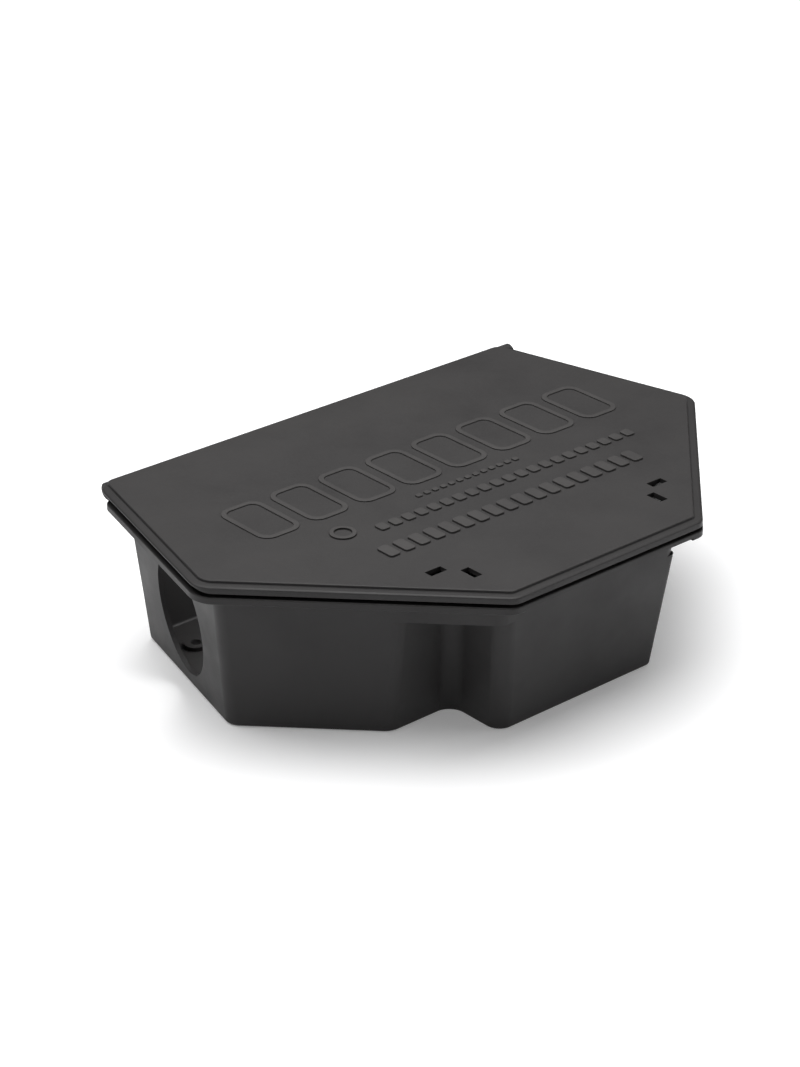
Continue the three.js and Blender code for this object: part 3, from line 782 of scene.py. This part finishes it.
def dust_group():
    """A film of dust on what faces up."""
    tree, given, out = shader_group(
        "Settled dust",
        {"Colour": (0.04, 0.04, 0.04, 1), "Dust": (0.2, 0.18, 0.16, 1), "Amount": 0.2, "Roughness": 0.5},
        {"Colour": "NodeSocketColor", "Roughness": "NodeSocketFloat"},
    )
    form = tree.nodes.new("ShaderNodeNewGeometry")
    split = tree.nodes.new("ShaderNodeSeparateXYZ")
    tree.links.new(form.outputs["Normal"], split.inputs["Vector"])
    up = spread(tree, split.outputs["Z"], 0.5, 1.0)
    place = object_place(tree)
    patches = spread(tree, noise(tree, place, 14.0, 6.0, 0.65), 0.3, 0.75)
    specks = spread(tree, noise(tree, place, 520.0, 2.0), 0.68, 0.74, 0.0, 0.35)
    film = maths(tree, "MULTIPLY", maths(tree, "ADD", patches, specks), given.outputs["Amount"])
    mask = maths(tree, "MULTIPLY", film, up)
    tree.links.new(
        blend_colour(tree, mask, given.outputs["Colour"], given.outputs["Dust"]), out.inputs["Colour"]
    )
    rough = maths(tree, "ADD", given.outputs["Roughness"], maths(tree, "MULTIPLY", mask, 0.35))
    tree.links.new(rough, out.inputs["Roughness"])
    return tree


GRAIN = moulded_grain_group()
MOTTLE = mottle_group()
RUBBED = rubbed_group()
DUST = dust_group()


# ---- materials ----

def new_material(name):
    material = bpy.data.materials.new(name)
    material.use_nodes = True
    tree = material.node_tree
    shader = next(n for n in tree.nodes if n.type == "BSDF_PRINCIPLED")
    return material, tree, shader


def placed(tree, group, values):
    node = add_node(tree, "ShaderNodeGroup", node_tree=group)
    for name, value in values.items():
        if isinstance(value, bpy.types.NodeSocket):
            tree.links.new(value, node.inputs[name])
        else:
            node.inputs[name].default_value = value
    return node


def bump(tree, shader, height, strength, distance):
    node = add_node(tree, "ShaderNodeBump", {"Strength": strength, "Distance": distance})
    tree.links.new(height, node.inputs["Height"])
    tree.links.new(node.outputs["Normal"], shader.inputs["Normal"])


def plastic(name, colour, pale, rough, specular, dust, rubbed=None, grain_scale=1400.0):
    material, tree, shader = new_material(name)
    grain = placed(tree, GRAIN, {"Scale": grain_scale, "Roughness": rough, "Variation": 0.1})
    mottle = placed(tree, MOTTLE, {"Colour": (*colour, 1), "Pale": (*pale, 1), "Share": 0.6})
    tone = mottle.outputs["Colour"]
    if rubbed:
        tone = placed(tree, RUBBED, {"Colour": tone, "Worn": (*rubbed, 1)}).outputs["Colour"]
    film = placed(
        tree,
        DUST,
        {
            "Colour": tone,
            "Dust": (0.16, 0.15, 0.135, 1),
            "Amount": dust,
            "Roughness": grain.outputs["Roughness"],
        },
    )
    tree.links.new(film.outputs["Colour"], shader.inputs["Base Color"])
    tree.links.new(film.outputs["Roughness"], shader.inputs["Roughness"])
    shader.inputs["Specular IOR Level"].default_value = specular
    bump(tree, shader, grain.outputs["Height"], 0.5, 0.00006)
    return material


def wire_steel():
    """Zinc-plated wire: bright, with fine drawing lines and dull patches."""
    material, tree, shader = new_material("Plated steel")
    place = object_place(tree)
    grain = placed(tree, GRAIN, {"Scale": 2600.0, "Roughness": 0.3, "Variation": 0.12})
    patches = spread(tree, noise(tree, place, 90.0, 5.0, 0.6), 0.35, 0.7)
    colour = blend_colour(tree, patches, (0.62, 0.62, 0.61, 1), (0.42, 0.42, 0.40, 1))
    tree.links.new(colour, shader.inputs["Base Color"])
    tree.links.new(grain.outputs["Roughness"], shader.inputs["Roughness"])
    shader.inputs["Metallic"].default_value = 1.0
    bump(tree, shader, grain.outputs["Height"], 0.3, 0.00003)
    return material


def bait_wax():
    """Pressed wax and grain: a dull blue-green with crushed kernels in it."""
    material, tree, shader = new_material("Bait wax")
    place = object_place(tree)
    kernels = add_node(tree, "ShaderNodeTexVoronoi", {"Scale": 380.0, "Randomness": 1.0})
    tree.links.new(place, kernels.inputs["Vector"])
    kernel_mask = spread(tree, kernels.outputs["Distance"], 0.18, 0.5, 1.0, 0.0)
    tone = noise(tree, place, 160.0, 5.0, 0.65)
    wax = blend_colour(tree, spread(tree, tone, 0.3, 0.7), (0.018, 0.15, 0.13, 1), (0.05, 0.27, 0.22, 1))
    picked = spread(tree, noise(tree, place, 210.0, 1.0), 0.55, 0.62)
    share = maths(tree, "MULTIPLY", maths(tree, "MULTIPLY", kernel_mask, picked), 0.75)
    tree.links.new(blend_colour(tree, share, wax, (0.38, 0.36, 0.2, 1)), shader.inputs["Base Color"])
    tree.links.new(spread(tree, tone, 0.2, 0.8, 0.5, 0.8), shader.inputs["Roughness"])
    bump(tree, shader, maths(tree, "ADD", kernel_mask, tone), 0.55, 0.0003)
    return material


def ruled_card():
    """White card with a plain ruled table: a header band, rows and columns."""
    material, tree, shader = new_material("Service card")
    place = object_place(tree)
    split = tree.nodes.new("ShaderNodeSeparateXYZ")
    tree.links.new(place, split.inputs["Vector"])
    low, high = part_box("service_card")

    def lines(value, pitch, offset, width):
        shifted = maths(tree, "DIVIDE", maths(tree, "SUBTRACT", value, offset), pitch)
        near = maths(tree, "ABSOLUTE", maths(tree, "SUBTRACT", maths(tree, "FRACT", shifted, 0.0), 0.5), 0.0)
        return maths(tree, "GREATER_THAN", near, 0.5 - width / pitch / 2)

    rows = lines(split.outputs["Y"], 0.0058, low.y, 0.0004)
    columns = lines(split.outputs["X"], 0.0255, low.x, 0.0004)
    ruled = maths(tree, "MAXIMUM", rows, columns)
    header = maths(tree, "LESS_THAN", split.outputs["Y"], low.y + 0.0058)
    fibres = noise(tree, place, 900.0, 4.0, 0.7)
    paper = blend_colour(tree, fibres, (0.74, 0.73, 0.68, 1), (0.86, 0.85, 0.80, 1))
    inked = blend_colour(tree, ruled, paper, (0.2, 0.22, 0.25, 1))
    tree.links.new(blend_colour(tree, header, inked, (0.25, 0.33, 0.38, 1)), shader.inputs["Base Color"])
    tree.links.new(spread(tree, fibres, 0.2, 0.8, 0.7, 0.9), shader.inputs["Roughness"])
    bump(tree, shader, fibres, 0.2, 0.00005)
    return material


CHARCOAL = (0.024, 0.0228, 0.0232)
CHARCOAL_PALE = (0.030, 0.0288, 0.0285)
RUBBED_PALE = (0.052, 0.0495, 0.049)
BLACK = (0.016, 0.016, 0.017)
BLACK_PALE = (0.024, 0.024, 0.025)

MATERIALS = {
    "base_plastic": plastic("Base plastic", CHARCOAL, CHARCOAL_PALE, 0.5, 0.25, 0.04),
    "lid_plastic": plastic("Lid plastic", CHARCOAL, CHARCOAL_PALE, 0.5, 0.25, 0.04, RUBBED_PALE),
    "tray_plastic": plastic("Tray plastic", BLACK, BLACK_PALE, 0.38, 0.5, 0.25),
    "latch_plastic": plastic("Latch plastic", BLACK, BLACK_PALE, 0.3, 0.5, 0.05, None, 2200.0),
    "steel": wire_steel(),
    "bait": bait_wax(),
    "card": ruled_card(),
}


# ---- from solids to finished pieces ----

def tidy_mesh(piece):
    """Welds what the joins left almost together, and merges flat faces that they split."""
    form = bmesh.new()
    form.from_mesh(piece.data)
    bmesh.ops.remove_doubles(form, verts=form.verts, dist=0.004)
    bmesh.ops.dissolve_limit(
        form, angle_limit=math.radians(0.2), verts=form.verts, edges=form.edges, delimit={"NORMAL"}
    )
    form.to_mesh(piece.data)
    form.free()


def finished(piece, name, body, nodes, slot, soften=0.3, sharp=32.0):
    """Scales a drawn piece into the frame, eases its edges and gives it its finish and its body."""
    tidy_mesh(piece)
    piece.data.transform(TO_FRAME)
    piece.name = name
    piece.data.name = name
    piece.data.materials.clear()
    piece.data.materials.append(MATERIALS[slot])
    piece.data.polygons.foreach_set("use_smooth", [True] * len(piece.data.polygons))
    if soften:
        ease = piece.modifiers.new("eased edges", "BEVEL")
        ease.width = soften * MM
        ease.segments = 2
        ease.limit_method = "ANGLE"
        ease.angle_limit = math.radians(sharp)
        ease.miter_outer = "MITER_ARC"
    flat = piece.modifiers.new("flat faces", "WEIGHTED_NORMAL")
    flat.mode = "FACE_AREA"
    flat.keep_sharp = True
    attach(piece, body)
    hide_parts(*nodes)
    return piece


def copy_of(piece, offset):
    twin = bpy.data.objects.new(piece.name, piece.data.copy())
    bpy.context.scene.collection.objects.link(twin)
    return move(twin, Matrix.Translation(offset))


def make_shells():
    finished(base_body(), "moulded_base", "base", ["base_shell"], "base_plastic")
    finished(lid_body(), "moulded_lid", "lid", ["lid_shell"], "lid_plastic", 0.2)
    finished(pin_body(), "hinge_wire", "base", ["hinge_pin"], "steel", 0)
    finished(card_body(), "ruled_card", "lid", ["service_card"], "card", 0.1)


def make_bait():
    finished(tray_body(), "lift_out_tray", "base", ["bait_tray"], "tray_plastic", 0.25)
    rod, block = rod_body(), block_body()
    for i, x in enumerate(ROD_XS, 1):
        twin = copy_of(rod, (x, ROD_Y, 0))
        finished(twin, f"rod_{i}", "base", [f"bait_rod_{i}"], "steel", 0)
        for k, place in enumerate(("lower", "upper")):
            twin = copy_of(block, (x, ROD_Y, BLOCK_LOW + k * (BLOCK_TALL + BLOCK_GAP)))
            node = f"bait_block_{i}_{place}"
            finished(twin, f"block_{i}_{place}", "base", [node], "bait", 0.4)
    bpy.data.objects.remove(rod)
    bpy.data.objects.remove(block)


def shortens(spring, place):
    """Gives the spring a mesh of its own; nothing here closes it up as the bolt slides back."""
    place = TO_FRAME @ place
    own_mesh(spring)


def make_latches():
    for name, side in (("left", -1), ("right", 1)):
        place = latch_place(side)
        bolt = move(bolt_body(), place)
        finished(bolt, f"bolt_{name}", f"latch_{name}", [f"latch_bolt_{name}"], "latch_plastic")
        spring = move(spring_body(), place)
        finished(spring, f"spring_{name}", "base", [f"latch_spring_{name}"], "steel", 0)
        shortens(spring, place)
        cap = move(cap_body(), place)
        finished(cap, f"cap_{name}", "base", [f"latch_cap_{name}"], "latch_plastic")
        for i, v in enumerate((-CAP_SCREW, CAP_SCREW), 1):
            screw = move(screw_body(v), place)
            finished(screw, f"screw_{name}_{i}", "base", [f"cap_screw_{name}_{i}"], "steel", 0.08)


make_shells()
make_bait()
make_latches()


# ---- floor, light and camera ----

def make_floor():
    ring = circle(0, 0, 9, 96)
    floor = solid("floor", [(x, y, 0) for x, y in ring], [tuple(range(len(ring)))])
    material, tree, shader = new_material("Pale floor")
    shader.inputs["Base Color"].default_value = (0.88, 0.88, 0.885, 1)
    shader.inputs["Roughness"].default_value = 0.9
    shader.inputs["Specular IOR Level"].default_value = 0.1
    shader.inputs["Emission Color"].default_value = (1, 1, 1, 1)
    shader.inputs["Emission Strength"].default_value = 0.2
    floor.data.materials.append(material)


def make_world():
    """A studio that is bright overhead and dim round the sides, seen by the camera as plain white."""
    world = bpy.data.worlds.new("Studio")
    bpy.context.scene.world = world
    world.use_nodes = True
    tree = world.node_tree
    sky = tree.nodes["Background"]
    split = tree.nodes.new("ShaderNodeSeparateXYZ")
    tree.links.new(tree.nodes.new("ShaderNodeTexCoord").outputs["Generated"], split.inputs["Vector"])
    glow = spread(tree, split.outputs["Z"], -0.1, 0.9, 0.6, 1.5)
    seen = tree.nodes.new("ShaderNodeLightPath").outputs["Is Camera Ray"]
    tree.links.new(maths(tree, "MAXIMUM", glow, seen), sky.inputs["Strength"])


def soft_light(name, spot, target, wide, tall, power):
    lamp = bpy.data.lights.new(name, "AREA")
    lamp.shape = "RECTANGLE"
    lamp.size, lamp.size_y = wide, tall
    lamp.energy = power
    holder = bpy.data.objects.new(name, lamp)
    holder.location = spot
    holder.rotation_euler = (Vector(target) - Vector(spot)).to_track_quat("-Z", "Y").to_euler()
    bpy.context.scene.collection.objects.link(holder)


def make_lights():
    soft_light("overhead", (0.0, 0.3, 1.7), (0, 0, 0.05), 2.2, 1.8, 54)
    soft_light("left", (-1.9, -0.6, 0.9), (0, 0, 0.05), 1.2, 1.0, 2.5)
    soft_light("right", (1.5, -1.3, 0.8), (0, 0, 0.05), 1.0, 0.9, 6)
    soft_light("inside", (-0.06, 0.045, 0.06), (-0.075, 0.045, 0), 0.08, 0.05, 0.07)


def make_camera():
    lens = bpy.data.cameras.new("camera")
    lens.lens = 96.4
    lens.sensor_width = 36
    lens.clip_start, lens.clip_end = 0.05, 60
    camera = bpy.data.objects.new("camera", lens)
    azimuth, elevation = math.radians(-40.942), math.radians(26.526)
    back = Vector(
        (
            math.sin(azimuth) * math.cos(elevation),
            -math.cos(azimuth) * math.cos(elevation),
            math.sin(elevation),
        )
    )
    camera.location = (-0.83146, -0.92102, 0.67514)
    camera.rotation_euler = (-back).to_track_quat("-Z", "Y").to_euler()
    bpy.context.scene.collection.objects.link(camera)
    bpy.context.scene.camera = camera


make_floor()
make_world()
make_lights()
make_camera()
bpy.context.scene.view_settings.view_transform = "Standard"
